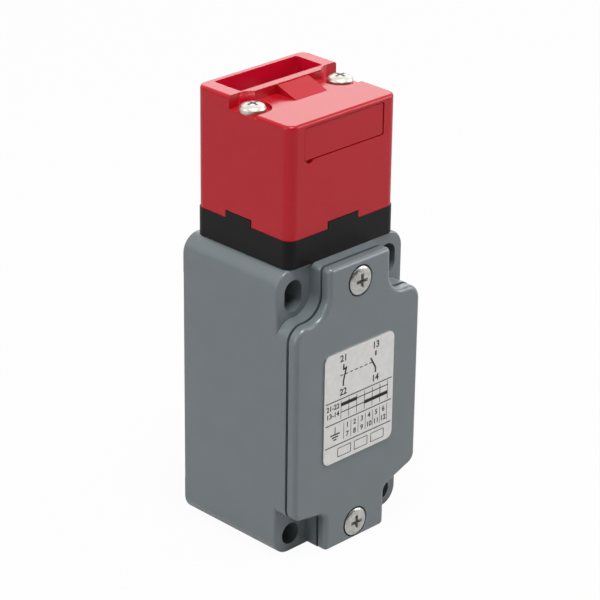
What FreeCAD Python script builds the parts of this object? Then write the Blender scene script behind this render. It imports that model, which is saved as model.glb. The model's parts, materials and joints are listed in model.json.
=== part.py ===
import FreeCAD, Part
import math
import os

# Tongue interlock switch: a die-cast case with a cover, and a red head that takes a key tongue.
# Millimetres. Origin: centre of the cable entry in the bottom face. +Z runs up the plunger axis,
# -Y is the cover side, +Y the mounting side.

# ---- mounting holes, 30 x 60 pattern ----
pitch_x = 30.0
pitch_z = 60.0
low_hole_z = 4.7
hole_side_edge = 5.0          # hole to the case's side
hole_top_edge = 6.5           # upper hole to the case's top
hole_r = 2.65
slot_travel = 2.2             # the upper pair are slots, longer than round by this
ear_face_y = -14.6            # where a mounting screw's head rests
ear_edge_r = 1.6
screw_room_r = 5.2            # room round a mounting screw's head

# ---- case ----
mount_face_y = 16.7           # plunger axis to the mounting pads
case_front_y = -17.75         # plunger axis to the rim that the cover closes
wall = 3.0
pad_rise = 0.95               # the mounting pads stand out of the back by this
pad_reach = 9.0
case_corner_r = 4.5
back_edge_cut = 0.9
lower_hollow_r = 2.0
left_rise = 1.6               # the lower shoulders rise this much towards the case's sides
right_rise = 3.8
shoulder_r = 4.0
heel_r = 2.8
tab_corner_r = 1.2
cavity_corner_r = 2.5
dome_corner_r = 1.5

# ---- cable entry ----
entry_r = 9.2                 # minor radius of M20 x 1.5
entry_chamfer = 0.4

# ---- cover ----
cover_gap = 0.55              # slot between case and cover, where the gasket shows
cover_thick = 2.55
cover_inset = 0.1
cover_edge_r = 1.1
cover_lip_wall = 1.3
cover_lip_depth = 1.4
cover_screw_low_z = 4.5
cover_screw_top_edge = 5.3
cover_screw_r = 2.0
cover_head_r = 3.4
cover_head_sink = 1.25
cover_head_dome = 0.55
cover_screw_length = 8.0
head_room = 0.35              # ring of air round a sunk screw head
tip_room = 0.4                # hole left beyond a screw's tip
gasket_inset = 1.1
gasket_width = 1.2
gasket_sink = 0.9
plate_width = 22.4
plate_height = 27.5
plate_rise = 1.95             # above the middle of the cover's wide part
plate_thick = 0.3
plate_corner_r = 1.8

# ---- head ----
head_depth = 30.0
head_wall = 2.1
head_corner_r = 2.4
roof_thick = 2.2              # under the flat front half of the top
rim_rise = 2.3                # the frame round the tongue slot stands above it
shell_top_r = 0.8
base_height = 6.7
base_proud = 0.15             # the black base stands out of the red shell all round
base_floor = 4.4
base_wall = 2.2
tab_rise = 1.7
front_tab_half = 4.75
side_tab_half = 4.05
side_tab_y = 1.2
tab_thick = 1.6
fit_gap = 0.12                # between pieces that are pushed together
base_screw_r = 1.5
base_screw_head_r = 2.7
base_screw_length = 9.6
base_screw_x = 9.2
base_screw_edge = 4.05        # screw to the base's inner wall
gasket_edge = 1.6
head_gasket_thick = 1.2

# ---- slots for the tongue ----
slot_width = 25.6
slot_depth = 8.5
slot_side_wall = 3.9
slot_back_wall = 1.75
slot_reach = 4.6              # the slot ends this far below the rotor's axis
rim_wall = 2.0
slot_corner_r = 0.6
ramp_x = 1.4                  # the lead-in is a little off the middle
ramp_width = 10.4
ramp_rise = 1.3
ramp_length = 5.5
front_slot_width = 24.8
front_slot_height = 7.8
plug_thick = 1.7
plug_sink = 0.15
plug_gap = 0.18
plug_skirt = 3.0
plug_skirt_wall = 1.1
pry_r = 1.2
pry_depth = 0.8

# ---- head screws ----
head_screw_edge = 3.1
head_screw_r = 1.75
head_screw_head_r = 3.0
head_screw_head_height = 2.0
head_screw_tip = 1.4          # above the base's underside
scallop_r = 4.3
scallop_sink = 0.85
column_half = 2.9

# ---- rotor, axle and plunger ----
travel = 3.0                  # of the plunger and the contacts
turn = 60.0                   # of the rotor, in degrees
run_fit = 0.04                # radial running clearance
free_gap = 0.3                # between faces of pieces that move past each other
rotor_room = 2.6              # rotor to the chamber's walls, where the tongue goes
rotor_under = 1.0             # rotor to the plunger's guide
rotor_over = 1.5              # rotor to the chamber's roof
rotor_step = 2.4              # axis to the shoulder that the tongue pushes
notch_inset = 2.2             # middle of the slot to the wall of the notch
cam_gap = 0.7                 # side of the plunger to the cheek of the cam's groove
cam_inset = 1.7
axle_r = 2.5
axle_seat = 1.6
post_thick = 1.3
plunger_r = 3.0
plunger_nose_r = 1.6
guide_wall = 2.4
guide_rise = 3.7
plunger_way_gap = 1.2         # round the plunger where it passes the case's top wall

# ---- contact block ----
cable_room = 6.8              # under the block
block_side_gap = 3.0
block_top_gap = 1.2
block_foot = 1.75             # height of the bosses that carry the block
block_wall = 2.0
block_edge_r = 0.8
carrier_half = 4.6
carrier_wall = 0.4            # of the block, in front of the carrier
carrier_rise = 2.0            # stands out of the block's top
spring_room = 7.2             # block's underside to the carrier's
low_arm_rise = 9.0            # block's underside to the lower fixed contacts
high_arm_drop = 5.0           # block's top to the upper fixed contacts
contact_thick = 1.2
contact_reach = 2.6
bridge_thick = 1.0
bridge_half_depth = 2.0
bridge_spring_height = 3.6
bridge_slack = 0.2            # bridge contact to the sides of its window
terminal_edge = 3.6
terminal_width = 6.6
terminal_height = 6.4
terminal_thick = 1.4
clamp_thick = 1.0
clamp_inset = 0.2
terminal_screw_r = 1.75
terminal_head_r = 2.9
terminal_head_height = 2.4
terminal_screw_length = 9.0
block_screw_r = 1.5
block_screw_edge = 2.8
block_screw_rise = 3.5
block_boss_r = 2.9
block_screw_sink = 3.0
block_screw_head_height = 2.0
spring_r = 2.6
spring_wire = 0.6
contact_spring_r = 1.5
contact_spring_wire = 0.5
earth_side_gap = 4.4
earth_rise = 3.7
earth_boss_r = 2.9
earth_boss_length = 5.5
earth_screw_length = 7.5
hole_slack = 0.1              # radial, where a screw passes through a plate
skin = 1.2                    # metal left behind a blind hole

# ---- worked out from the values above ----
half_width = pitch_x / 2 + hole_side_edge
high_hole_z = low_hole_z + pitch_z
case_height = high_hole_z + hole_top_edge
tab_half = pitch_x / 2 - screw_room_r
shoulder_z = high_hole_z - screw_room_r
heel_z = low_hole_z + screw_room_r
cover_back_y = case_front_y - cover_gap
cover_front_y = cover_back_y - cover_thick
cover_screw_z = (cover_screw_low_z, case_height - cover_screw_top_edge)
plate_z = (heel_z + shoulder_z) / 2 + plate_rise
relief_y = mount_face_y - pad_rise
cavity_half = half_width - wall
cavity_back_y = relief_y - wall
cavity_low_z = heel_z + wall + right_rise / 2
cavity_high_z = shoulder_z - wall

base_low_z = case_height
base_high_z = base_low_z + base_height
floor_z = base_low_z + base_floor
half_head_x = slot_width / 2 + slot_side_wall
half_head_y = head_depth / 2
base_half_x = half_head_x + base_proud
base_half_y = half_head_y + base_proud
base_screw_y = base_half_y - base_wall - base_screw_edge
base_screw_spots = [(x, y) for x in (-base_screw_x, base_screw_x) for y in (-base_screw_y, base_screw_y)]

chamber_half_y = half_head_y - head_wall
rotor_r = chamber_half_y - rotor_room
rotor_z = floor_z + guide_rise + rotor_under + rotor_r
chamber_roof_z = rotor_z + rotor_r + rotor_over
pad_z = chamber_roof_z + roof_thick
rim_z = pad_z + rim_rise
slot_back_y = half_head_y - slot_back_wall
slot_front_y = slot_back_y - slot_depth
slot_y = (slot_front_y + slot_back_y) / 2
frame_front_y = slot_front_y - rim_wall
front_slot_z = rotor_z + slot_y
scallop_z = pad_z - scallop_sink
head_screw_x = half_head_x - head_screw_edge
post_outer_x = head_screw_x - column_half + 0.15
post_inner_x = post_outer_x - post_thick
chamber_half_x = post_inner_x - 0.15
rotor_half = chamber_half_x - free_gap
axle_half = chamber_half_x + axle_seat
rotor_notch = slot_y - notch_inset
cam_half = plunger_r + cam_gap
cam_r_out = rotor_r - cam_inset
cam_r_in = cam_r_out - travel
guide_r = plunger_r + guide_wall

block_half = cavity_half - block_side_gap
block_low_z = cavity_low_z + cable_room
block_high_z = cavity_high_z - block_top_gap
block_back_y = cavity_back_y - block_foot
block_front_y = -carrier_half - carrier_wall
carrier_low_z = block_low_z + spring_room
carrier_high_z = block_high_z + carrier_rise
low_arm_z = block_low_z + low_arm_rise
high_arm_z = block_high_z - high_arm_drop
cavity_dome_z = carrier_high_z + travel + 0.5
plunger_low_z = carrier_high_z + free_gap
plunger_top_z = rotor_z - cam_r_out - free_gap
terminal_x = block_half - terminal_edge
bridge_half = terminal_x - terminal_width / 2 + 1.5
contact_inner_x = bridge_half - contact_reach
earth_x = -cavity_half + earth_side_gap
earth_z = cavity_low_z + earth_rise


SQUARE = ((-1, -1), (1, -1), (1, 1), (-1, 1))


def V(x, y, z):
    return FreeCAD.Vector(x, y, z)


def box(x, y, z):
    """A box from three (low, high) pairs."""
    return Part.makeBox(x[1] - x[0], y[1] - y[0], z[1] - z[0], V(x[0], y[0], z[0]))


def rod(radius, start, direction, length):
    return Part.makeCylinder(radius, length, start, direction)


def up(radius, x, y, z):
    return rod(radius, V(x, y, z[0]), V(0, 0, 1), z[1] - z[0])


def across(radius, x, z, y):
    """A cylinder along Y, between two values of y."""
    return rod(radius, V(x, y[0], z), V(0, 1, 0), y[1] - y[0])


def outline(points, radii, place):
    """A face with rounded corners. place turns (u, v) into a point in space."""
    edges, ends = [], []
    for i, corner in enumerate(points):
        before, after = points[i - 1], points[(i + 1) % len(points)]
        here, radius = V(corner[0], corner[1], 0), radii[i]
        to_before = (V(before[0], before[1], 0) - here).normalize()
        to_after = (V(after[0], after[1], 0) - here).normalize()
        half = to_before.getAngle(to_after) / 2
        if radius <= 0 or abs(half - math.pi / 2) < 1e-6:
            ends.append((here, here, here))
            continue
        reach = radius / math.tan(half)
        toward = (to_before + to_after).normalize()
        middle = here + toward * (radius / math.sin(half) - radius)
        ends.append((here + to_before * reach, middle, here + to_after * reach))
    for i, (first, middle, last) in enumerate(ends):
        following = ends[(i + 1) % len(ends)][0]
        if (last - first).Length > 1e-7:
            arc = [place(p.x, p.y) for p in (first, middle, last)]
            edges.append(Part.Arc(*arc).toShape())
        if (following - last).Length > 1e-7:
            edges.append(Part.LineSegment(place(last.x, last.y), place(following.x, following.y)).toShape())
    return Part.Face(Part.Wire(edges))


def front_prism(points, radii, y):
    """Extrude an outline drawn in X and Z along Y."""
    return outline(points, radii, lambda u, v: V(u, y[0], v)).extrude(V(0, y[1] - y[0], 0))


def plan_prism(points, radii, z):
    """Extrude an outline drawn in X and Y along Z."""
    return outline(points, radii, lambda u, v: V(u, v, z[0])).extrude(V(0, 0, z[1] - z[0]))


def side_prism(points, radii, x):
    """Extrude an outline drawn in Y and Z along X."""
    return outline(points, radii, lambda u, v: V(x[0], u, v)).extrude(V(x[1] - x[0], 0, 0))


def rectangle(u, v):
    return [(u[0], v[0]), (u[1], v[0]), (u[1], v[1]), (u[0], v[1])]


def soften(shape, radius, wanted):
    """Fillet the edges whose bounding box passes the test."""
    edges = [e for e in shape.Edges if wanted(e.BoundBox)]
    return shape.makeFillet(radius, edges)


def turned(profile, base, axis):
    """Revolve (radius, height) points about an axis that starts at base."""
    side = V(1, 0, 0) if abs(axis.x) < 0.5 else V(0, 1, 0)
    points = [base + side * r + axis * h for r, h in profile]
    face = Part.Face(Part.makePolygon(points + points[:1]))
    return face.revolve(base, axis, 360)


def coil(radius, wire, low, high, turns):
    """A spring of square wire from z = low to z = high, in short straight steps."""
    half = wire / 2
    steps = turns * 12
    sections = []
    for step in range(steps + 1):
        angle = 2 * math.pi * turns * step / steps
        middle = low + half + (high - low - wire) * step / steps
        ring = []
        for s, t in SQUARE:
            reach = radius + s * half
            ring.append(V(reach * math.cos(angle), reach * math.sin(angle), middle + t * half))
        sections.append(Part.makePolygon(ring + ring[:1]))
    return Part.makeLoft(sections, True, True)


def plain_screw(base, axis, shank_r, length, head_r, head_height):
    """A slotted screw. base is under the head, axis points from tip to head."""
    profile = [(0, -length), (shank_r, -length), (shank_r, 0), (head_r, 0), (head_r, head_height),
               (0, head_height)]
    body = turned(profile, base, axis)
    top = base + axis * head_height
    side, other = V(1, 0, 0), axis.cross(V(1, 0, 0))
    half = head_r * 0.12
    corners = [top + side * (s * (head_r + 1)) + other * (t * half) for s, t in SQUARE]
    slot = Part.Face(Part.makePolygon(corners + corners[:1])).extrude(axis * (-0.45 * head_height))
    return body.cut(slot)


def cross_screw(base, axis, shank_r, length, head_r, head_height, dome):
    """A cross-head screw with a domed head. base is under the head, axis points from tip to head."""
    tip = -length
    profile = [(0, tip), (shank_r * 0.6, tip), (shank_r, tip + shank_r * 0.5), (shank_r, 0),
               (head_r, 0), (head_r, head_height)]
    for step in range(1, 4):
        angle = math.radians(90 * step / 3)
        profile.append((head_r * math.cos(angle), head_height + dome * math.sin(angle)))
    body = turned(profile, base, axis)
    side = V(1, 0, 0)
    other = axis.cross(side)
    top = base + axis * (head_height + dome)
    depth = (head_height + dome) * 0.6
    for along, over in ((side, other), (other, side)):
        arm, thick = head_r * 0.55, head_r * 0.13
        upper = [top + along * (s * arm) + over * (t * thick) for s, t in SQUARE]
        lower = [top - axis * depth + along * (s * arm * 0.3) + over * (t * thick * 0.7) for s, t in SQUARE]
        wires = [Part.makePolygon(ring + ring[:1]) for ring in (lower, upper)]
        body = body.cut(Part.makeLoft(wires, True))
    return body


# ---- case ----

def case_outline(inset, y):
    """The cross-shaped front outline, moved in by inset: full width between the mounting ears."""
    side, tab = half_width - inset, tab_half - inset
    top, bottom = case_height - inset, inset
    high = shoulder_z - inset
    left, right = (heel_z + inset * (math.hypot(1, rise / (side - tab)) - rise / (side - tab))
                   for rise in (left_rise, right_rise))
    points = [(-tab, bottom), (tab, bottom), (tab, right), (side, right + right_rise), (side, high),
              (tab, high), (tab, top), (-tab, top), (-tab, high), (-side, high),
              (-side, left + left_rise), (-tab, left)]
    corner, round_low, round_high = (max(r - inset, 0.3) for r in (tab_corner_r, heel_r, shoulder_r))
    inner_low, inner_high = lower_hollow_r + inset, screw_room_r + inset
    radii = [corner, corner, inner_low, round_low, round_high, inner_high,
             corner, corner, inner_high, round_high, round_low, inner_low]
    return front_prism(points, radii, y)


def cavity_outline(y, inset=0.0):
    """The wiring space behind the cover: wide in the middle, with a narrow dome over the plunger."""
    side = cavity_half - inset
    low, high, dome = cavity_low_z + inset, cavity_high_z - inset, cavity_dome_z - inset
    neck = tab_half - wall + 1.0 - inset
    points = [(-side, low), (side, low), (side, high), (neck, high), (neck, dome), (-neck, dome),
              (-neck, high), (-side, high)]
    wide, narrow, throat = cavity_corner_r, dome_corner_r, 1.0
    return front_prism(points, [wide, wide, wide, throat, narrow, narrow, throat, wide], y)


def make_housing():
    corners = rectangle((-half_width, half_width), (0, case_height))
    rear = front_prism(corners, [case_corner_r] * 4, (ear_face_y, mount_face_y))
    rear = soften(rear, ear_edge_r, lambda b: b.YMax < ear_face_y + 0.01)
    rear = rear.makeChamfer(back_edge_cut, [e for e in rear.Edges if e.BoundBox.YMin > mount_face_y - 0.01])
    front = case_outline(0, (case_front_y, ear_face_y + ear_edge_r + 1.0))
    housing = rear.fuse(front)
    housing = housing.cut(box((-half_width - 1, half_width + 1), (relief_y, mount_face_y + 1),
                              (pad_reach, case_height - pad_reach)))
    housing = housing.cut(cavity_outline((case_front_y - 1, cavity_back_y)))
    for x in (-pitch_x / 2, pitch_x / 2):
        housing = housing.cut(across(hole_r, x, low_hole_z, (ear_face_y - 1, mount_face_y + 1)))
        rise = slot_travel / 2
        slot = front_prism(rectangle((x - hole_r, x + hole_r),
                                     (high_hole_z - hole_r - rise, high_hole_z + hole_r + rise)),
                           [hole_r - 0.001] * 4, (ear_face_y - 1, mount_face_y + 1))
        housing = housing.cut(slot)
    housing = housing.cut(up(entry_r, 0, 0, (-1, cavity_low_z + 1)))
    mouth = Part.makeCone(entry_r + entry_chamfer, entry_r, entry_chamfer, V(0, 0, 0), V(0, 0, 1))
    housing = housing.cut(mouth)
    housing = housing.cut(up(plunger_r + plunger_way_gap, 0, 0, (cavity_dome_z - 1, case_height + 1)))
    for z in cover_screw_z:
        tip = cover_front_y + cover_head_sink + cover_screw_length
        housing = housing.cut(across(cover_screw_r, 0, z, (case_front_y - 1, tip + tip_room)))
    for x, y in base_screw_spots:
        depth = floor_z - base_screw_length - tip_room
        housing = housing.cut(up(base_screw_r, x, y, (depth, case_height + 1)))
    for x, z in block_screw_spots():
        boss = across(block_boss_r, x, z, (block_back_y, cavity_back_y + 0.5))
        housing = housing.fuse(boss)
        housing = housing.cut(across(block_screw_r, x, z, (block_back_y - 1, relief_y - skin)))
    boss_front = cavity_back_y - earth_boss_length
    housing = housing.fuse(across(earth_boss_r, earth_x, earth_z, (boss_front, cavity_back_y + 0.5)))
    housing = housing.cut(across(terminal_screw_r, earth_x, earth_z, (boss_front - 1, relief_y - skin)))
    return housing.cut(make_cover_gasket()).removeSplitter()


def make_cover_gasket():
    """The ring that seals the cover, from the groove's floor to the cover's back."""
    y = (cover_back_y, case_front_y + gasket_sink)
    outer = case_outline(gasket_inset, y)
    inner = case_outline(gasket_inset + gasket_width, (y[0] - 1, y[1] + 1))
    return outer.cut(inner)


def make_cover():
    cover = case_outline(cover_inset, (cover_front_y, cover_back_y))
    cover = soften(cover, cover_edge_r, lambda b: b.YMax < cover_front_y + 0.01)
    lip = cavity_outline((cover_back_y - 0.5, case_front_y + cover_lip_depth), free_gap)
    hollow = cavity_outline((cover_back_y, case_front_y + cover_lip_depth + 1), free_gap + cover_lip_wall)
    cover = cover.fuse(lip.cut(hollow))
    for z in cover_screw_z:
        seat = cover_front_y + cover_head_sink
        cover = cover.cut(across(cover_screw_r + 0.25, 0, z, (cover_front_y - 1, cover_back_y + 3)))
        cover = cover.cut(across(cover_head_r + head_room, 0, z, (cover_front_y - 1, seat)))
    return cover.removeSplitter()


def make_cover_screws():
    seat = cover_front_y + cover_head_sink
    return [cross_screw(V(0, seat, z), V(0, -1, 0), cover_screw_r, cover_screw_length,
                        cover_head_r, cover_head_sink, cover_head_dome) for z in cover_screw_z]


def make_rating_plate():
    u = (-plate_width / 2, plate_width / 2)
    v = (plate_z - plate_height / 2, plate_z + plate_height / 2)
    return front_prism(rectangle(u, v), [plate_corner_r] * 4, (cover_front_y - plate_thick, cover_front_y))


# ---- head ----

def head_block(half_x, half_y, z, corner):
    return plan_prism(rectangle((-half_x, half_x), (-half_y, half_y)), [corner] * 4, z)


def base_tabs(slack):
    """Low tabs in the middle of each side of the base, which the shell is notched for."""
    top = base_high_z + tab_rise + slack
    z = (base_high_z - 0.5, top)
    outer_x, outer_y = base_half_x + (1 if slack else 0), base_half_y + (1 if slack else 0)
    inner_x, inner_y = base_half_x - tab_thick - slack, base_half_y - tab_thick - slack
    wide, deep = front_tab_half + slack, side_tab_half + slack
    side = (side_tab_y - deep, side_tab_y + deep)
    return [box((-wide, wide), (-outer_y, -inner_y), z), box((-wide, wide), (inner_y, outer_y), z),
            box((-outer_x, -inner_x), side, z), box((inner_x, outer_x), side, z)]


def make_head_base():
    base = head_block(base_half_x, base_half_y, (base_low_z, base_high_z), head_corner_r)
    inner = head_block(base_half_x - base_wall, base_half_y - base_wall, (floor_z, base_high_z + 1), 1.0)
    base = base.cut(inner)
    for tab in base_tabs(0):
        base = base.fuse(tab)
    column_room = base_half_x - base_wall + 0.4
    for side in (-1, 1):
        low, high = sorted((side * (head_screw_x - column_half), side * column_room))
        base = base.fuse(box((low, high), (-column_half, column_half), (floor_z - 0.5, base_high_z)))
        low, high = sorted((side * post_inner_x, side * post_outer_x))
        post = box((low, high), (-axle_r + 0.1, axle_r - 0.1), (floor_z - 0.5, rotor_z))
        base = base.fuse(post)
    base = base.cut(rod(axle_r, V(-axle_half - 1, 0, rotor_z), V(1, 0, 0), 2 * axle_half + 2))
    base = base.fuse(up(guide_r, 0, 0, (floor_z - 0.5, floor_z + guide_rise)))
    base = base.cut(up(plunger_r + run_fit, 0, 0, (base_low_z - 1, floor_z + guide_rise + 1)))
    for side in (-1, 1):
        hole_z = (base_low_z + head_screw_tip - tip_room, base_high_z + tab_rise + 1)
        base = base.cut(up(head_screw_r, side * head_screw_x, 0, hole_z))
    for x, y in base_screw_spots:
        base = base.cut(up(base_screw_r + 0.2, x, y, (base_low_z - 1, floor_z + 1)))
        sink = Part.makeCone(base_screw_r + 0.2, base_screw_head_r, base_screw_head_r - base_screw_r,
                             V(x, y, floor_z - base_screw_head_r + base_screw_r), V(0, 0, 1))
        base = base.cut(sink)
    return base.cut(make_head_gasket()).removeSplitter()


def make_head_gasket():
    low, high = base_low_z, base_low_z + head_gasket_thick
    outer = head_block(base_half_x - gasket_edge, base_half_y - gasket_edge, (low, high), 1.5)
    inner_edge = gasket_edge + gasket_width
    return outer.cut(head_block(base_half_x - inner_edge, base_half_y - inner_edge, (low - 1, high + 1), 0.8))


def make_base_screws():
    pieces = []
    for x, y in base_screw_spots:
        sink = base_screw_head_r - base_screw_r
        profile = [(0, -base_screw_length), (base_screw_r, -base_screw_length), (base_screw_r, -sink - 0.2),
                   (base_screw_r + 0.2, -sink), (base_screw_head_r, 0), (0, 0)]
        body = turned(profile, V(x, y, floor_z), V(0, 0, 1))
        socket = plan_prism([(x + 1.2 * math.cos(a), y + 1.2 * math.sin(a))
                             for a in (math.radians(60 * k) for k in range(6))], [0] * 6,
                            (floor_z - 1.3, floor_z + 1))
        pieces.append(body.cut(socket))
    return pieces


def make_head_shell():
    tall = head_block(half_head_x, half_head_y, (base_high_z, rim_z), head_corner_r)
    low = head_block(half_head_x, half_head_y, (base_high_z, pad_z), head_corner_r)
    frame = tall.common(box((-half_head_x, half_head_x), (frame_front_y, half_head_y), (base_high_z, rim_z)))
    low = soften(low, shell_top_r, lambda b: b.ZMin > pad_z - 0.01)
    frame = soften(frame, shell_top_r, lambda b: b.ZMin > rim_z - 0.01 and b.YMax > frame_front_y + 0.01)
    shell = low.fuse(frame).fuse(ramp_wedge())
    for side in (-1, 1):
        x = side * head_screw_x
        shell = shell.cut(up(scallop_r, x, 0, (scallop_z, rim_z + 1)))
        low_x, high_x = sorted((x, side * (half_head_x + 1)))
        shell = shell.cut(box((low_x, high_x), (-scallop_r, scallop_r), (scallop_z, rim_z + 1)))
        shell = shell.cut(up(head_screw_r + 0.15, x, 0, (base_high_z - 1, pad_z)))
    shell = shell.cut(box((-chamber_half_x, chamber_half_x), (-chamber_half_y, chamber_half_y),
                          (base_high_z - 1, chamber_roof_z)))
    top_slot = box((-slot_width / 2, slot_width / 2), (slot_front_y, slot_back_y),
                   (rotor_z - slot_reach, rim_z + 1))
    shell = shell.cut(soften(top_slot, slot_corner_r, lambda b: b.XLength + b.YLength < 0.01))
    shell = shell.cut(front_slot(0, (-half_head_y - 1, -scallop_r - 0.5)))
    for side in (-1, 1):
        low_x, high_x = sorted((side * (chamber_half_x - 1), side * axle_half))
        shell = shell.cut(box((low_x, high_x), (-axle_r, axle_r), (base_high_z - 1, rotor_z)))
        shell = shell.cut(rod(axle_r, V(low_x, 0, rotor_z), V(1, 0, 0), high_x - low_x))
    for tab in base_tabs(fit_gap):
        shell = shell.cut(tab)
    pry = across(pry_r, -front_slot_width / 2 + pry_r + 0.5, front_slot_z - front_slot_height / 2 + 0.5,
                 (-half_head_y - 1, -half_head_y + pry_depth))
    return shell.cut(pry).removeSplitter()


def ramp_wedge():
    """The sloped lead-in between the pad and the frame round the slot."""
    bite = 0.3
    back, foot = frame_front_y + bite, frame_front_y - ramp_length
    profile = [(back, pad_z - bite), (back, pad_z + ramp_rise), (frame_front_y, pad_z + ramp_rise),
               (foot, pad_z), (foot, pad_z - bite)]
    return side_prism(profile, [0] * 5, (ramp_x - ramp_width / 2, ramp_x + ramp_width / 2))


def front_slot(inset, y):
    half_x, half_z = front_slot_width / 2 - inset, front_slot_height / 2 - inset
    corners = rectangle((-half_x, half_x), (front_slot_z - half_z, front_slot_z + half_z))
    return front_prism(corners, [slot_corner_r] * 4, y)


def make_entry_plug():
    """The plug that closes the tongue slot in the head's front."""
    face_y = -half_head_y + plug_sink
    skirt_y = face_y + plug_thick + plug_skirt
    plate = front_slot(plug_gap, (face_y, face_y + plug_thick))
    skirt = front_slot(0, (face_y + plug_thick - 0.6, skirt_y))
    skirt = skirt.cut(front_slot(plug_skirt_wall, (face_y, skirt_y + 1)))
    return plate.fuse(skirt).removeSplitter()


def make_head_screws():
    length = scallop_z - base_low_z - head_screw_tip
    return [cross_screw(V(side * head_screw_x, 0, scallop_z), V(0, 0, 1), head_screw_r, length,
                        head_screw_head_r, head_screw_head_height * 0.45, head_screw_head_height * 0.55)
            for side in (-1, 1)]


# ---- rotor and plunger ----

def make_rotor():
    centre = V(-rotor_half, 0, rotor_z)
    body = rod(rotor_r, centre, V(1, 0, 0), 2 * rotor_half)
    body = body.cut(box((-rotor_half - 1, rotor_half + 1), (rotor_notch, rotor_r + 1),
                        (rotor_z + rotor_step, rotor_z + rotor_r + 1)))
    body = body.cut(box((-rotor_half - 1, rotor_half + 1), (-rotor_r - 1, -rotor_step),
                        (rotor_z + rotor_notch, rotor_z + rotor_r + 1)))
    groove = rod(rotor_r + 1, V(-cam_half, 0, rotor_z), V(1, 0, 0), 2 * cam_half)
    body = body.cut(groove.cut(cam(2 * cam_half + 2)))
    return body.cut(rod(axle_r + run_fit, V(-rotor_half - 1, 0, rotor_z), V(1, 0, 0), 2 * rotor_half + 2))


def cam(width):
    """A plate whose radius falls evenly from cam_r_out, straight down, over the rotor's turn."""
    points = []
    steps = 12
    for step in range(steps + 1):
        angle = math.radians(-90 + turn * step / steps)
        radius = cam_r_out - travel * step / steps
        points.append(V(-width / 2, radius * math.cos(angle), rotor_z + radius * math.sin(angle)))
    spiral = Part.BSplineCurve()
    spiral.interpolate(points)
    last = math.radians(-90 + turn)
    nose = V(-width / 2, cam_r_in * math.cos(last + 0.5), rotor_z + cam_r_in * math.sin(last + 0.5))
    top = V(-width / 2, 0, rotor_z + cam_r_in)
    middle = V(-width / 2, cam_r_in * math.cos(0.8), rotor_z + cam_r_in * math.sin(0.8))
    front_angle = math.radians(-90 - 35)
    heel = V(-width / 2, cam_r_out * math.cos(front_angle), rotor_z + cam_r_out * math.sin(front_angle))
    round_off = math.radians(-90 - 17)
    between = V(-width / 2, cam_r_out * math.cos(round_off), rotor_z + cam_r_out * math.sin(round_off))
    left = V(-width / 2, -cam_r_in, rotor_z)
    left_middle = V(-width / 2, -cam_r_in * math.cos(0.8), rotor_z + cam_r_in * math.sin(0.8))
    edges = [spiral.toShape(), Part.LineSegment(points[-1], nose).toShape(),
             Part.Arc(nose, middle, top).toShape(), Part.Arc(top, left_middle, left).toShape(),
             Part.LineSegment(left, heel).toShape(), Part.Arc(heel, between, points[0]).toShape()]
    return Part.Face(Part.Wire(edges)).extrude(V(width, 0, 0))


def make_axle():
    axle = rod(axle_r, V(-axle_half, 0, rotor_z), V(1, 0, 0), 2 * axle_half)
    return axle.makeChamfer(0.4, axle.Edges)


def make_plunger():
    body = up(plunger_r, 0, 0, (plunger_low_z, plunger_top_z - plunger_nose_r))
    nose = rod(plunger_nose_r, V(-plunger_r, 0, plunger_top_z - plunger_nose_r), V(1, 0, 0), 2 * plunger_r)
    web = box((-plunger_r, plunger_r), (-plunger_nose_r, plunger_nose_r),
              (plunger_top_z - 2 * plunger_nose_r, plunger_top_z - plunger_nose_r))
    top = nose.fuse(web).common(up(plunger_r, 0, 0, (plunger_low_z, plunger_top_z + 1)))
    return body.fuse(top).removeSplitter()


# ---- contact block ----

def make_contact_base():
    """The block's moulded body, with a channel for the carrier and windows for the contacts."""
    x = (-block_half, block_half)
    body = box(x, (block_front_y, block_back_y), (block_low_z, block_high_z))
    body = soften(body, block_edge_r, lambda b: b.YLength > 5)
    channel = carrier_half + free_gap
    body = body.cut(box((-channel, channel), (block_front_y - 1, channel),
                        (block_low_z + block_wall, block_high_z + 1)))
    reach, depth = (size + free_gap + 0.4 for size in (bridge_half, bridge_half_depth))
    for z in contact_windows():
        body = body.cut(box((-reach, reach), (block_front_y - 1, depth), z))
    for side in (-1, 1):
        for z in terminal_levels():
            body = body.cut(across(terminal_screw_r, side * terminal_x, z,
                                   (block_front_y - 1, block_front_y + terminal_screw_length)))
    for x, z in block_screw_spots():
        body = body.cut(across(block_screw_r + 0.15, x, z, (block_front_y - 1, block_back_y + 1)))
        body = body.cut(across(block_boss_r, x, z, (block_front_y - 1, block_front_y + block_screw_sink)))
    return body.removeSplitter()


def contact_windows():
    """Heights of the two windows: the upper pair opens as the carrier is down, the lower pair closes."""
    swept = travel + bridge_thick + 3 * free_gap
    return (low_arm_z, low_arm_z + contact_thick + swept), (high_arm_z - swept, high_arm_z + contact_thick)


def block_screw_spots():
    """One screw low at the left, the other between the right-hand terminals."""
    side = block_half - block_screw_edge
    return [(-side, block_low_z + block_screw_rise), (side, sum(terminal_levels()) / 2)]


def terminal_levels():
    lower, upper = contact_windows()
    return (lower[0] + terminal_height / 2, upper[1] - terminal_height / 2)


def make_terminals(upper):
    """Two terminal plates, each with an arm that reaches in to the bridge contact."""
    level = terminal_levels()[1 if upper else 0]
    arm_z = high_arm_z if upper else low_arm_z
    front_y = block_front_y - terminal_thick
    pieces = []
    for side in (-1, 1):
        x = side * terminal_x
        plate = box((x - terminal_width / 2, x + terminal_width / 2), (front_y, block_front_y),
                    (level - terminal_height / 2, level + terminal_height / 2))
        low, high = sorted((side * contact_inner_x, side * bridge_half))
        arm = box((low, high), (front_y, bridge_half_depth), (arm_z, arm_z + contact_thick))
        hole = across(terminal_screw_r + hole_slack, x, level, (front_y - 1, block_front_y + 1))
        pieces.append(plate.fuse(arm).cut(hole).removeSplitter())
    return pieces


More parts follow.
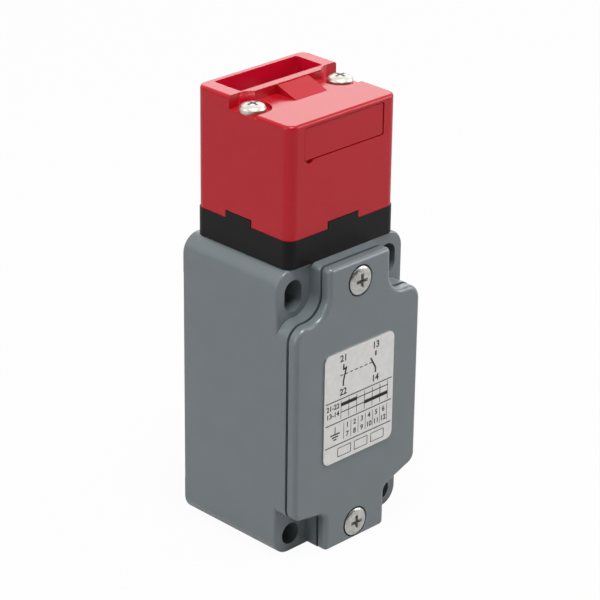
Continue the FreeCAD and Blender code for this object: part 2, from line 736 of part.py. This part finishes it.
def terminal_spots():
    return [(side * terminal_x, z) for side in (-1, 1) for z in terminal_levels()]


def make_terminal_clamps():
    size = terminal_width / 2 - clamp_inset
    tall = terminal_height / 2 - clamp_inset
    back = block_front_y - terminal_thick
    pieces = []
    for x, z in terminal_spots():
        plate = box((x - size, x + size), (back - clamp_thick, back), (z - tall, z + tall))
        pieces.append(plate.cut(across(terminal_screw_r + hole_slack, x, z, (back - 5, back + 5))))
    return pieces


def make_terminal_screws():
    seat = block_front_y - terminal_thick - clamp_thick
    length = terminal_screw_length - terminal_thick - clamp_thick
    return [plain_screw(V(x, seat, z), V(0, -1, 0), terminal_screw_r, length, terminal_head_r,
                        terminal_head_height) for x, z in terminal_spots()]


def make_block_screws():
    seat = block_front_y + block_screw_sink
    length = relief_y - skin - tip_room - seat
    return [plain_screw(V(x, seat, z), V(0, -1, 0), block_screw_r, length, block_boss_r - 0.4,
                        block_screw_head_height)
            for x, z in block_screw_spots()]


def make_carrier():
    """The sliding carrier, with a window for each bridge contact and its spring."""
    x = (-carrier_half, carrier_half)
    body = box(x, (-carrier_half, carrier_half), (carrier_low_z, carrier_high_z - 3.5))
    body = soften(body, 0.8, lambda b: b.ZLength > 5)
    body = body.fuse(up(carrier_half - 0.6, 0, 0, (carrier_high_z - 4.0, carrier_high_z)))
    deep = bridge_half_depth + bridge_slack
    for window in carrier_windows():
        body = body.cut(box((x[0] - 1, x[1] + 1), (-deep, deep), window))
    return body.removeSplitter()


def bridge_levels():
    """Underside of the lower and of the upper bridge contact, with no tongue in the head."""
    return (low_arm_z + contact_thick + free_gap, high_arm_z - travel - free_gap - bridge_thick)


def carrier_windows():
    lower, upper = bridge_levels()
    tall = bridge_thick + bridge_spring_height
    return (lower, lower + tall), (upper + bridge_thick - tall, upper + bridge_thick)


def make_bridge(level):
    deep = bridge_half_depth
    plate = box((-bridge_half, bridge_half), (-deep, deep), (level, level + bridge_thick))
    return soften(plate, 0.6, lambda b: abs(b.ZLength - bridge_thick) < 0.01 and b.XLength < 0.01)


def make_contact_springs():
    (low_a, high_a), (low_b, high_b) = carrier_windows()
    heights = ((low_a + bridge_thick, high_a), (low_b, high_b - bridge_thick))
    return [coil(contact_spring_r, contact_spring_wire, low, high, 3) for low, high in heights]


def make_return_spring():
    return coil(spring_r, spring_wire, block_low_z + block_wall, carrier_low_z, 4)


# ---- earth terminal ----

def make_earth_clamp():
    front = cavity_back_y - earth_boss_length
    plate = across(earth_boss_r, earth_x, earth_z, (front - clamp_thick, front))
    return plate.cut(across(terminal_screw_r + hole_slack, earth_x, earth_z, (front - 5, front + 5)))


def make_earth_screw():
    seat = cavity_back_y - earth_boss_length - clamp_thick
    return plain_screw(V(earth_x, seat, earth_z), V(0, -1, 0), terminal_screw_r, earth_screw_length,
                       terminal_head_r, terminal_head_height)


def group(pieces):
    return Part.makeCompound(pieces)


nodes = {
    "housing": make_housing(),
    "cover": make_cover(),
    "cover_gasket": make_cover_gasket(),
    "cover_screws": group(make_cover_screws()),
    "rating_plate": make_rating_plate(),
    "head_base": make_head_base(),
    "head_gasket": make_head_gasket(),
    "base_screws": group(make_base_screws()),
    "head_shell": make_head_shell(),
    "entry_plug": make_entry_plug(),
    "head_screws": group(make_head_screws()),
    "rotor": make_rotor(),
    "rotor_axle": make_axle(),
    "plunger": make_plunger(),
    "contact_base": make_contact_base(),
    "contact_carrier": make_carrier(),
    "lower_bridge": make_bridge(bridge_levels()[0]),
    "upper_bridge": make_bridge(bridge_levels()[1]),
    "contact_springs": group(make_contact_springs()),
    "return_spring": make_return_spring(),
    "lower_terminals": group(make_terminals(False)),
    "upper_terminals": group(make_terminals(True)),
    "terminal_clamps": group(make_terminal_clamps()),
    "terminal_screws": group(make_terminal_screws()),
    "block_screws": group(make_block_screws()),
    "earth_clamp": make_earth_clamp(),
    "earth_screw": make_earth_screw(),
}

os.makedirs("parts", exist_ok=True)
for name, shape in nodes.items():
    shape.exportStep(f"parts/{name}.step")
    box_of = shape.BoundBox
    print(f"{name}: {len(shape.Solids)} solid(s), valid {shape.isValid()}, "
          f"z {box_of.ZMin:.1f} to {box_of.ZMax:.1f}")
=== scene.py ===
import bmesh
import bpy
import json
import math
from mathutils import Matrix, Vector


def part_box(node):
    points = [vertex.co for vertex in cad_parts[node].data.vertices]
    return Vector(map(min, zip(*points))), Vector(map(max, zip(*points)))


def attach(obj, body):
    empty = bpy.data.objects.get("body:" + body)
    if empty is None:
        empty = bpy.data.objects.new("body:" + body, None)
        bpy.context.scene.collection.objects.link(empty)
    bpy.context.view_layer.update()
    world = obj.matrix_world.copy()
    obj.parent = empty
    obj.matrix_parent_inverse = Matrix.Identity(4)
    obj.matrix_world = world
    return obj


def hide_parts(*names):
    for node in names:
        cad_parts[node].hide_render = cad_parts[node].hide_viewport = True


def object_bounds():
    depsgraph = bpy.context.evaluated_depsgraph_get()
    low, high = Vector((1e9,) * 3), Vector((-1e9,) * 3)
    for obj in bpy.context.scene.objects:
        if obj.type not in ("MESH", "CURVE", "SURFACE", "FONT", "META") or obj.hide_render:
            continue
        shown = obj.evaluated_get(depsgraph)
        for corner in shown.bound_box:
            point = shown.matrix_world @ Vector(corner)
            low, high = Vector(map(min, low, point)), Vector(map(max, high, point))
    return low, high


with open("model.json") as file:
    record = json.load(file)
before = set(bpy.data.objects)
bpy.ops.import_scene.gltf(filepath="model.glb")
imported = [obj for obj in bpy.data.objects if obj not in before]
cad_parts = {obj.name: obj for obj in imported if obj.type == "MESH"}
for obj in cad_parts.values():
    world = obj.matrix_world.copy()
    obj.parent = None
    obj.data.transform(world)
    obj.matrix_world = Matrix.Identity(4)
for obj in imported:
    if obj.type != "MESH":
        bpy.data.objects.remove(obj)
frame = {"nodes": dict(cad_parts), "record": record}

cadLow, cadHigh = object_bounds()
mm = 0.001
nodes = frame["nodes"]
record = frame["record"]
slotOf = {part["node"]: part["material_slot"] for part in record["subparts"]}


class Wire:
    # a socket that takes part in sums: each operator adds a Math node
    def __init__(self, board, socket):
        self.board, self.socket = board, socket

    def maths(self, operation, first, second):
        return self.board.add("ShaderNodeMath", {"operation": operation}, {0: first, 1: second})

    def __add__(self, other):
        return self.maths("ADD", self, other)

    def __sub__(self, other):
        return self.maths("SUBTRACT", self, other)

    def __rsub__(self, other):
        return self.maths("SUBTRACT", other, self)

    def __mul__(self, other):
        return self.maths("MULTIPLY", self, other)

    __radd__, __rmul__ = __add__, __mul__


class Board:
    # a node tree being filled: add() makes any node
    def __init__(self, tree):
        self.tree = tree

    def feed(self, socket, value):
        if isinstance(value, Wire):
            self.tree.links.new(value.socket, socket)
        else:
            socket.default_value = value

    def add(self, kind, settings, inputs, output=0):
        # the settings come first, because they decide which sockets there are
        node = self.tree.nodes.new(kind)
        for name, value in settings.items():
            setattr(node, name, value)
        for name, value in inputs.items():
            self.feed(node.inputs[name], value)
        return Wire(self, node.outputs[output])

    def ray(self, kind):
        return self.add("ShaderNodeLightPath", {}, {}, f"Is {kind} Ray")

    def along(self, point, direction):
        # how far the point lies in that direction
        return self.add("ShaderNodeVectorMath", {"operation": "DOT_PRODUCT"},
                        {0: point, 1: direction}, "Value")

    def fade(self, value, start, end, low=0.0, high=1.0):
        # from low to high, softly, as the value goes from start to end
        return self.add("ShaderNodeMapRange", {"interpolation_type": "SMOOTHSTEP"},
                        {"Value": value, "From Min": start, "From Max": end,
                         "To Min": low, "To Max": high})


class Finish(Board):
    # a material being mixed: fixed values sit on the shader's own sockets
    def __init__(self, name, colour, roughness, metallic=0.0, **fixed):
        self.material = bpy.data.materials.new(name)
        self.material.use_nodes = True
        super().__init__(self.material.node_tree)
        self.shader = self.tree.nodes["Principled BSDF"]
        self.set("Base Color", (*colour, 1))
        self.set("Roughness", roughness)
        self.set("Metallic", metallic)
        for socket, value in fixed.items():
            self.set(socket.replace("_", " "), value)

    def set(self, socket, value):
        self.feed(self.shader.inputs[socket], value)

    def point(self):
        return self.add("ShaderNodeTexCoord", {}, {}, "Object")

    def noise(self, size, detail=2):
        # size is the width of one blotch, in metres
        return self.add("ShaderNodeTexNoise", {},
                        {"Vector": self.point(), "Scale": 1 / size, "Detail": detail}, "Fac")

    def mix(self, share, first, second):
        return self.add("ShaderNodeMix", {"data_type": "RGBA"},
                        {"Factor": share, 6: (*first, 1), 7: (*second, 1)}, 2)

    def bump(self, height, depth, under=None):
        # depth is in metres; under is the bump that this one lies on
        inputs = {"Height": height, "Distance": depth}
        if under:
            inputs["Normal"] = under
        return self.add("ShaderNodeBump", {}, inputs, "Normal")


powderCoat = {
    "colour": (0.150, 0.176, 0.190), "darker": (0.138, 0.160, 0.170), "cloud": 6 * mm,
    "roughness": 0.36, "speckSpread": 0.12, "cloudSpread": 0.08,
    "specular": 0.3, "coat": 0.5, "coatRoughness": 0.12,
    "peel": 0.9 * mm, "peelDepth": 0.012 * mm, "grain": 0.16 * mm, "grainDepth": 0.004 * mm,
}


def makePowderCoat():
    v = powderCoat
    finish = Finish("powderCoat", v["colour"], v["roughness"], Specular_IOR_Level=v["specular"],
                    Coat_Weight=v["coat"], Coat_Roughness=v["coatRoughness"])
    cloud = finish.noise(v["cloud"], 3)
    speck = finish.noise(v["grain"])
    finish.set("Base Color", finish.mix(cloud, v["darker"], v["colour"]))
    spread = (speck - 0.5) * v["speckSpread"] + (cloud - 0.5) * v["cloudSpread"]
    finish.set("Roughness", v["roughness"] + spread)
    peel = finish.bump(finish.noise(v["peel"], 1), v["peelDepth"])
    finish.set("Normal", finish.bump(speck, v["grainDepth"], under=peel))
    return finish.material


redGloss = {
    "colour": (0.47, 0.007, 0.016), "deeper": (0.43, 0.006, 0.014), "cloud": 7 * mm,
    "roughness": 0.2, "haze": 0.5 * mm, "hazeSpread": 0.08, "specular": 0.3,
    "ripple": 5 * mm, "rippleDepth": 0.02 * mm,
}


def makeRedGloss():
    v = redGloss
    finish = Finish("redGloss", v["colour"], v["roughness"], Specular_IOR_Level=v["specular"])
    cloud = finish.noise(v["cloud"])
    finish.set("Base Color", finish.mix(cloud, v["deeper"], v["colour"]))
    haze = finish.noise(v["haze"], 4)
    finish.set("Roughness", v["roughness"] + (haze - 0.5) * v["hazeSpread"])
    finish.set("Normal", finish.bump(finish.noise(v["ripple"], 1), v["rippleDepth"]))
    return finish.material


# dim is how dark the darker blotches are, spread how much the grain varies the roughness
moulding = {"blotch": 3 * mm, "dim": 0.82, "grain": 0.25 * mm, "detail": 3,
            "spread": 0.2, "depth": 0.006 * mm}
plating = {"blotch": 1.6 * mm, "dim": 0.8, "grain": 0.12 * mm, "detail": 2,
           "spread": 0.15, "depth": 0.003 * mm}


def grained(finish, colour, roughness, v):
    cloud = finish.noise(v["blotch"], 3)
    finish.set("Base Color", finish.mix(cloud, [v["dim"] * c for c in colour], colour))
    grain = finish.noise(v["grain"], v["detail"])
    finish.set("Roughness", roughness + (grain - 0.5) * v["spread"])
    finish.set("Normal", finish.bump(grain, v["depth"]))
    return finish.material


def makeMoulded(name, colour, roughness, specular=0.5):
    finish = Finish(name, colour, roughness, Specular_IOR_Level=specular)
    return grained(finish, colour, roughness, moulding)


def makeMetal(name, colour, roughness, **own):
    return grained(Finish(name, colour, roughness, 1.0), colour, roughness, {**plating, **own})


finishes = {
    "grey_casting": makePowderCoat(),
    "red_plastic": makeRedGloss(),
    "black_plastic": makeMoulded("blackNylon", (0.007, 0.006, 0.007), 0.4, specular=0.16),
    "black_rubber": makeMoulded("sealRubber", (0.011, 0.011, 0.012), 0.7),
    "acetal": makeMoulded("acetal", (0.72, 0.70, 0.65), 0.35),
    "ivory_plastic": makeMoulded("ivoryMoulding", (0.52, 0.46, 0.36), 0.5),
    "zinc_steel": makeMetal("brightZinc", (0.74, 0.73, 0.69), 0.28, blotch=1.1 * mm, dim=0.38),
    "label_plate": makeMetal("labelFilm", (0.80, 0.79, 0.77), 0.38),
    "silvered_brass": makeMetal("silveredBrass", (0.84, 0.78, 0.62), 0.28),
    "spring_steel": makeMetal("springSteel", (0.55, 0.55, 0.56), 0.3),
}
headZinc = makeMetal("headZinc", (0.70, 0.665, 0.60), 0.40, dim=0.7)
# painted shade: a dark metal on the faces inside the cross sockets, standing in for the shade in
# the recesses
paintedSocketShade = makeMetal("paintedSocketShade", (0.30, 0.29, 0.27), 0.5)
# painted light: a brighter red than the shell's own, standing in for the light and red bounce on
# the slot's inner walls
paintedLightSlotRed = makeMoulded("paintedLightSlotRed", (0.76, 0.006, 0.035), 0.16)
printInk = makeMoulded("printInk", (0.022, 0.022, 0.024), 0.45)
print("finishes mixed")


edges = {
    "joined": 0.004 * mm,             # corners nearer together than this are one
    "flat": math.radians(0.6),        # faces that turn by less than this are one
    "straight": 1e-3,                 # a corner that turns by less than this, in radians, goes
    "sharp": math.radians(28),        # edges past this are rounded
    "segments": 2,
    "broad": 1.2 * mm,                # mean width from which a face counts as a broad one
    "splitBroad": math.radians(2),    # shading is split between two broad faces past this
    "split": math.radians(30),        # and between any two past this
    "levelling": 80,                  # how strongly the broad faces level the normals
}


def meshCopy(node):
    # the node's loose triangles, joined up and with its flat faces made whole again
    shape = bmesh.new()
    shape.from_mesh(nodes[node].data)
    bmesh.ops.remove_doubles(shape, verts=shape.verts, dist=edges["joined"])
    bmesh.ops.dissolve_limit(shape, angle_limit=edges["flat"], verts=shape.verts, edges=shape.edges)
    return shape


def roundSharp(shape, width):
    sharp = [edge for edge in shape.edges
             if len(edge.link_faces) == 2 and edge.calc_face_angle() > edges["sharp"]]
    bmesh.ops.bevel(shape, geom=sharp, offset=width, offset_type="OFFSET", affect="EDGES",
                    segments=edges["segments"], profile=0.5, material=-1, clamp_overlap=True)
    bmesh.ops.remove_doubles(shape, verts=shape.verts, dist=edges["joined"])
    straight = [vert for vert in shape.verts
                if len(vert.link_edges) == 2 and vert.calc_edge_angle() < edges["straight"]]
    bmesh.ops.dissolve_verts(shape, verts=straight)


def finished(shape, name, first, second=None, node=None):
    # turns the bmesh into a piece with smooth shading, split at its sharp edges
    for face in shape.faces:
        face.smooth = True
    broad = {face for face in shape.faces
             if face.calc_area() > edges["broad"] * max(e.calc_length() for e in face.edges)}
    for edge in shape.edges:
        limit = edges["splitBroad"] if broad.issuperset(edge.link_faces) else edges["split"]
        edge.smooth = len(edge.link_faces) == 2 and edge.calc_face_angle() < limit
    mesh = bpy.data.meshes.new(name)
    shape.to_mesh(mesh)
    shape.free()
    for material in (first, second):
        if material:
            mesh.materials.append(material)
    piece = bpy.data.objects.new(name, mesh)
    bpy.context.scene.collection.objects.link(piece)
    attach(piece, "case")
    if node:
        level = piece.modifiers.new("evenNormals", "WEIGHTED_NORMAL")
        level.mode, level.weight, level.keep_sharp = "FACE_AREA", edges["levelling"], True
        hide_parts(node)


casting = {
    "wasRounded": 1.6 * mm, "rounded": 0.6 * mm,  # the long edge, in the frame and here
    "corner": 4.5 * mm,                           # radius of the case's four corners
    "earFace": -14.6 * mm,
    "near": 0.03 * mm, "touch": 0.001 * mm,       # how far off the old round a corner may be
    "wall": 0.1 * mm, "upright": 0.02,            # what tells the wall of a notch
}


def caseDepth(point, low, high):
    # distance in from the case's outline, seen from the front, and the direction out of it
    corner = casting["corner"]
    middle = (low[2] + high[2]) / 2
    halfWidth, halfHeight = (high[0] - low[0]) / 2, (high[2] - low[2]) / 2
    over = Vector((abs(point.x) - halfWidth, abs(point.z - middle) - halfHeight))
    over += Vector((corner, corner))
    out = Vector((max(over.x, 0), max(over.y, 0)))
    if out.length == 0:
        out = Vector((1, 0)) if over.x > over.y else Vector((0, 1))
        depth = corner - max(over)
    else:
        depth = corner - out.length
    out.normalize()
    return depth, Vector((math.copysign(out.x, point.x), 0, math.copysign(out.y, point.z - middle)))


def tightenEars(shape, node):
    # the long edge round the ears is drawn in from its radius in the frame to a crisper one
    v = casting
    was, new = v["wasRounded"], v["rounded"]
    low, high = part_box(node)
    moved = 0
    for vert in shape.verts:
        rise = vert.co.y - v["earFace"]
        depth, out = caseDepth(vert.co, low, high)
        offRound = abs(math.hypot(was - rise, was - depth) - was)
        if max(rise, depth) > was + v["touch"] or offRound > v["near"]:
            continue
        sides = [face for face in vert.link_faces if abs(face.normal.y) < v["upright"]]
        if any(caseDepth(c.co, low, high)[0] > v["wall"] for face in sides for c in face.verts):
            short = max(new - depth, 0)
            vert.co.y = v["earFace"] + new - math.sqrt(new ** 2 - short ** 2)
        else:
            vert.co += out * (depth * (1 - new / was))
            vert.co.y = v["earFace"] + rise * new / was
        moved += 1
    print("ear edge tightened at", moved, "corners")


# the lead-in's two sides, its back, its foot and its top, in mm; pad is the face it stands on
leadIn = {
    "from": {"sides": (-3.8, 6.6), "back": 2.75, "foot": -2.75, "top": 105.9},
    "to": {"sides": (-3.5, 6.15), "foot": -3.45, "top": 106.65},
    "pad": 104.6, "near": 0.02,
}


def raiseLeadIn(shape, node):
    # the sloped lead-in is drawn up to just under the top of the frame round the slot
    was, new, near = leadIn["from"], leadIn["to"], leadIn["near"]
    moved = 0
    for vert in shape.verts:
        x, y, z = (c / mm for c in vert.co)
        side = next((b for a, b in zip(was["sides"], new["sides"]) if abs(x - a) < near), None)
        inside = z > leadIn["pad"] - near and was["foot"] - near < y < was["back"] + near
        if side is None or not inside:
            continue
        along = new["foot"] if abs(y - was["foot"]) < near else y
        rise = new["top"] if abs(z - was["top"]) < near else z
        vert.co = Vector((side, along, rise)) * mm
        moved += 1
    print("lead-in raised at", moved, "corners")


# where the painted light inside the tongue slot goes
tongueSlot = {"beyond": 2.2 * mm, "depth": 12 * mm, "upright": 0.2}


def paintLightOnSlotWalls(shape, node):
    # the inner walls of the tongue slot take the second finish, a brighter red that is painted
    # light: it stands in for the light and red bounce inside the slot
    v = tongueSlot
    openings = record["physics"]["openings"]
    low, high = next(o["box_m"] for o in openings if o["name"] == "tongue_entry")
    for face in shape.faces:
        middle = face.calc_center_median()
        within = all(low[k] - v["beyond"] < middle[k] < high[k] + v["beyond"] for k in (0, 1))
        if within and abs(face.normal.z) < v["upright"] and middle.z > low[2] - v["depth"]:
            face.material_index = 1


# reach is a share of the head's radius
# where the painted shade in the cross sockets goes
crossSocket = {"reach": 0.6, "from": 0.22 * mm, "to": 2.5 * mm}


def paintShadeInSockets(shape, node):
    # the cross sockets take the second finish, a dark metal that is painted shade for the recesses:
    # two heads one over the other in front, or two side by side on top
    v = crossSocket
    low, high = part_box(node)
    inFront = node == "cover_screws"
    radius = (high[0] - low[0] if inFront else high[1] - low[1]) / 2
    for face in shape.faces:
        middle = face.calc_center_median()
        if inFront:
            centres = [(0, low[2] + radius), (0, high[2] - radius)]
            flat, deep = (middle.x, middle.z), middle.y - low[1]
        else:
            across = (low[1] + high[1]) / 2
            centres = [(low[0] + radius, across), (high[0] - radius, across)]
            flat, deep = (middle.x, middle.y), high[2] - middle.z
        reach = min(math.dist(flat, centre) for centre in centres)
        if reach < v["reach"] * radius and v["from"] < deep < v["to"]:
            face.material_index = 1


madeOver = {
    "housing": {"rounding": 0.4 * mm, "changes": [tightenEars]},
    "cover": {"rounding": 0.35 * mm},
    "head_shell": {"rounding": 0.25 * mm, "changes": [raiseLeadIn, paintLightOnSlotWalls],
                   "second": paintedLightSlotRed},
    "head_base": {"rounding": 0.2 * mm},
    "entry_plug": {"rounding": 0.15 * mm},
    "cover_gasket": {},
    "cover_screws": {"rounding": 0.07 * mm, "changes": [paintShadeInSockets], "second": paintedSocketShade},
    "head_screws": {"rounding": 0.07 * mm, "changes": [paintShadeInSockets], "first": headZinc,
                    "second": paintedSocketShade},
}
for node, v in madeOver.items():
    shape = meshCopy(node)
    for change in v.get("changes", ()):
        change(shape, node)
    if "rounding" in v:
        roundSharp(shape, v["rounding"])
    slot = slotOf[node]
    finished(shape, "made_" + node, v.get("first", finishes[slot]), v.get("second"), node)
    print("made over:", node)

for name, piece in nodes.items():
    piece.data.materials.clear()
    piece.data.materials.append(finishes[slotOf[name]])
print("finishes put on", len(nodes), "nodes")


# what is printed on the plate: contact signs, numbers and a travel chart, all in mm
platePrint = {
    "line": 0.24, "bold": 0.45, "thick": 0.03, "sunk": 0.005, "fatten": 0.022,
    "digit": 2.3, "small": 1.8, "margin": 1.0,
    "dividers": (38.5, 32.9, 27.2), "overhang": 0.5,
}
# each contact: place across, closed or not, its numbers, and where its blade's tip stands as
# shares of the contact's height
contactSigns = {
    "signs": ((-5.2, True, ("21", "22"), (0.3, 1.25)), (5.2, False, ("13", "14"), (-0.55, 0.9))),
    "height": 3.0, "fromTop": 1.9, "fromLine": 1.6, "lead": 0.65, "hook": 1.2,
    "dashes": 7, "dashFrom": -6.2, "dashStep": 1.56, "dash": 0.9,
}
# spans are in sixths of the travel
travelChart = {
    "rows": (("21-22", (0, 2)), ("13-14", (3, 6))), "steps": 6,
    "left": 4.4, "right": 0.8, "names": -0.3, "drop": 1.5, "rowStep": 1.9, "bar": 0.9,
    "tickEnd": 0.5, "tick": 0.6,
}
earthSign = {"at": 2.6, "stem": 1.9, "halves": (1.5, 1.0, 0.5), "step": 0.65, "bold": 0.8}
numberGrid = {"count": 12, "first": 6.6, "step": 2.35, "rise": 1.15, "rule": 5.4, "ruleHalf": 2.1,
              "ruleLine": 0.5}
blankFields = {"lefts": (-6.6, -1.2, 4.2), "width": 4.2, "half": 1.1, "line": 0.7}


def makePlatePrint():
    v = platePrint
    low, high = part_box("rating_plate")
    left, right = low[0] / mm + v["margin"], high[0] / mm - v["margin"]
    top, bottom = high[2] / mm, low[2] / mm
    face = (low[1] / mm - v["thick"] / 2 + v["sunk"]) * mm
    first, second, third = v["dividers"]
    shape = bmesh.new()

    def bar(x0, z0, x1, z1, width=v["line"]):
        start, end = Vector((x0 * mm, face, z0 * mm)), Vector((x1 * mm, face, z1 * mm))
        run = end - start
        turn = Matrix.Rotation(-math.atan2(run.z, run.x), 4, "Y")
        size = Matrix.Diagonal((run.length, v["thick"] * mm, width * mm, 1))
        place = Matrix.Translation((start + end) / 2) @ turn @ size
        bmesh.ops.create_cube(shape, size=1, matrix=place)

    def number(text, x, z, size=v["digit"], side="CENTER"):
        curve = bpy.data.curves.new("number", "FONT")
        curve.body, curve.align_x, curve.align_y = text, side, "CENTER"
        curve.extrude, curve.offset = v["thick"] / size / 2, v["fatten"]
        holder = bpy.data.objects.new("number", curve)
        bpy.context.scene.collection.objects.link(holder)
        settled = holder.evaluated_get(bpy.context.evaluated_depsgraph_get())
        flat = bpy.data.meshes.new_from_object(settled)
        place = Matrix.Translation((x * mm, face, z * mm))
        upright = Matrix.Rotation(math.radians(90), 4, "X")
        flat.transform(place @ upright @ Matrix.Scale(size * mm, 4))
        shape.from_mesh(flat)
        bpy.data.objects.remove(holder)
        bpy.data.meshes.remove(flat)

    for z in v["dividers"]:
        bar(left - v["overhang"], z, right + v["overhang"], z)

    c = contactSigns
    head, foot = top - c["fromTop"], first + c["fromLine"]
    middle, half = (head + foot) / 2, c["height"] / 2
    for x, closed, names, (out, up) in c["signs"]:
        bar(x, head - c["lead"] * v["digit"], x, middle + half, v["bold"])
        bar(x, foot + c["lead"] * v["digit"], x, middle - half, v["bold"])
        tip = c["height"] * out
        bar(x, middle - half, x + tip, middle + half * up, v["bold"])
        if closed:
            bar(x - v["bold"] / 2, middle + half, x + tip * c["hook"], middle + half, v["bold"])
        number(names[0], x, head)
        number(names[1], x, foot)
    for n in range(c["dashes"]):
        start = c["dashFrom"] + c["dashStep"] * n
        bar(start, (top + first) / 2, start + c["dash"], (top + first) / 2)

    c = travelChart
    start, end = left + c["left"], right - c["right"]
    step = (end - start) / c["steps"]
    for row, (names, (on, off)) in enumerate(c["rows"]):
        z = first - c["drop"] - row * c["rowStep"]
        number(names, left + c["names"], z, v["small"], "LEFT")
        bar(start, z, end, z)
        bar(start + step * on, z, start + step * off, z, c["bar"])
    for tick in range(c["steps"] + 1):
        x = start + step * tick
        bar(x, second + c["tickEnd"], x, first - c["tickEnd"], v["line"] * c["tick"])

    c = earthSign
    x, z = left + c["at"], (second + third) / 2
    bar(x, z + c["stem"], x, z)
    for n, half in enumerate(c["halves"]):
        bar(x - half, z - n * c["step"], x + half, z - n * c["step"], v["bold"] * c["bold"])

    c = numberGrid
    columns = c["count"] // 2
    for n in range(c["count"]):
        x = left + c["first"] + c["step"] * (n % columns)
        number(str(n + 1), x, z + (c["rise"] if n < columns else -c["rise"]), v["small"])
    for n in range(columns + 1):
        x = left + c["rule"] + c["step"] * n
        bar(x, z - c["ruleHalf"], x, z + c["ruleHalf"], v["line"] * c["ruleLine"])

    c = blankFields
    z, line = (third + bottom) / 2, v["line"] * c["line"]
    for x in c["lefts"]:
        for rise in (-c["half"], c["half"]):
            bar(x, z + rise, x + c["width"], z + rise, line)
        for side in (x, x + c["width"]):
            bar(side, z - c["half"], side, z + c["half"], line)
    finished(shape, "platePrint", printInk)


makePlatePrint()
print("plate printed")


floorPlan = {
    "shade": 0.55, "roughness": 0.9, "half": 6.0, "under": 0.02 * mm,
    "white": 0.96,                    # how white it is to the camera and through glass
    "whiteInGloss": 0.3,              # and in reflections, on the side behind the object
    "behind": (0.708, 0.706, 0), "from": -0.09, "to": -0.03,
}


def makeFloor():
    v = floorPlan
    shape = bmesh.new()
    bmesh.ops.create_grid(shape, x_segments=1, y_segments=1, size=v["half"])
    mesh = bpy.data.meshes.new("floor")
    shape.to_mesh(mesh)
    shape.free()
    finish = Finish("paleFloor", (v["shade"],) * 3, v["roughness"])
    glow = finish.add("ShaderNodeEmission", {}, {"Color": (1, 1, 1, 1), "Strength": 1.0})
    farSide = finish.fade(finish.along(finish.point(), v["behind"]), v["from"], v["to"])
    share = ((finish.ray("Camera") + finish.ray("Transmission")) * v["white"]
             + finish.ray("Glossy") * farSide * v["whiteInGloss"])
    plain = Wire(finish, finish.shader.outputs[0])
    blend = finish.add("ShaderNodeMixShader", {}, {0: share, 1: plain, 2: glow})
    finish.feed(finish.tree.nodes["Material Output"].inputs["Surface"], blend)
    mesh.materials.append(finish.material)
    floor = bpy.data.objects.new("floor", mesh)
    bpy.context.scene.collection.objects.link(floor)
    floor.location.z = cadLow.z - v["under"]


sky = {"fill": 0.18, "dark": 0.08, "white": 1.0, "towards": (0.5, 0.5, 0.707),
       "from": -0.1, "to": 0.45}


def makeWorld():
    # white wherever the camera looks; in reflections white behind the object, dim in front
    world = bpy.data.worlds.new("studioWhite")
    bpy.context.scene.world = world
    world.use_nodes = True
    board = Board(world.node_tree)
    direction = board.add("ShaderNodeTexCoord", {}, {}, "Generated")
    lit = board.fade(board.along(direction, sky["towards"]), sky["from"], sky["to"],
                     sky["dark"], sky["white"])
    camera, glossy, through = (board.ray(kind) for kind in ("Camera", "Glossy", "Transmission"))
    plain = (1 - camera) * (1 - glossy) * (1 - through)
    strength = camera + (1 - camera) * (1 - plain) * lit + plain * sky["fill"]
    back = world.node_tree.nodes["Background"]
    back.inputs["Color"].default_value = (1, 1, 1, 1)
    board.feed(back.inputs["Strength"], strength)


lamps = {
    "top": {"at": (-0.10, -0.24, 1.00), "size": (0.45, 0.45), "power": 8.6},
    "left": {"at": (-0.90, 0.25, 0.42), "size": (0.6, 0.7), "power": 4.0},
    "right": {"at": (0.80, -0.55, 0.40), "size": (0.5, 0.6), "power": 4.2},
    "behind": {"at": (0.66, 0.66, 0.56), "size": (0.9, 0.42), "power": 2.2},
}
lampAim = Vector((0, 0, 0.06))


def makeLamps():
    for name, v in lamps.items():
        light = bpy.data.lights.new(name, "AREA")
        light.shape = "RECTANGLE"
        light.size, light.size_y = v["size"]
        light.energy = v["power"]
        lamp = bpy.data.objects.new(name, light)
        lamp.location = v["at"]
        lamp.rotation_euler = (lampAim - lamp.location).to_track_quat("-Z", "Y").to_euler()
        lamp.visible_camera = False
        bpy.context.scene.collection.objects.link(lamp)


camera = {
    "at": (-377.56 * mm, -379.73 * mm, 299.49 * mm), "aim": (1.988 * mm, -1.191 * mm, 54.2 * mm),
    "roll": math.radians(0.79), "lens": 153.9, "sensor": 36.0, "shift": (-0.0072, -0.0018),
    "near": 0.01, "far": 30.0,
}


def makeCamera():
    v = camera
    data = bpy.data.cameras.new("studioCamera")
    data.lens, data.sensor_width = v["lens"], v["sensor"]
    data.shift_x, data.shift_y = v["shift"]
    data.clip_start, data.clip_end = v["near"], v["far"]
    eye = bpy.data.objects.new("studioCamera", data)
    at, aim = Vector(v["at"]), Vector(v["aim"])
    ahead = (aim - at).normalized()
    right = ahead.cross(Vector((0, 0, 1))).normalized()
    up = right.cross(ahead)
    cosine, sine = math.cos(v["roll"]), math.sin(v["roll"])
    axes = (right * cosine + up * sine, up * cosine - right * sine, -ahead)
    turned = Matrix(axes).transposed().to_4x4()
    turned.translation = at
    eye.matrix_world = turned
    bpy.context.scene.collection.objects.link(eye)
    bpy.context.scene.camera = eye


makeCamera()
makeFloor()
makeWorld()
makeLamps()
bpy.context.scene.view_settings.view_transform = "Standard"
print("studio set")
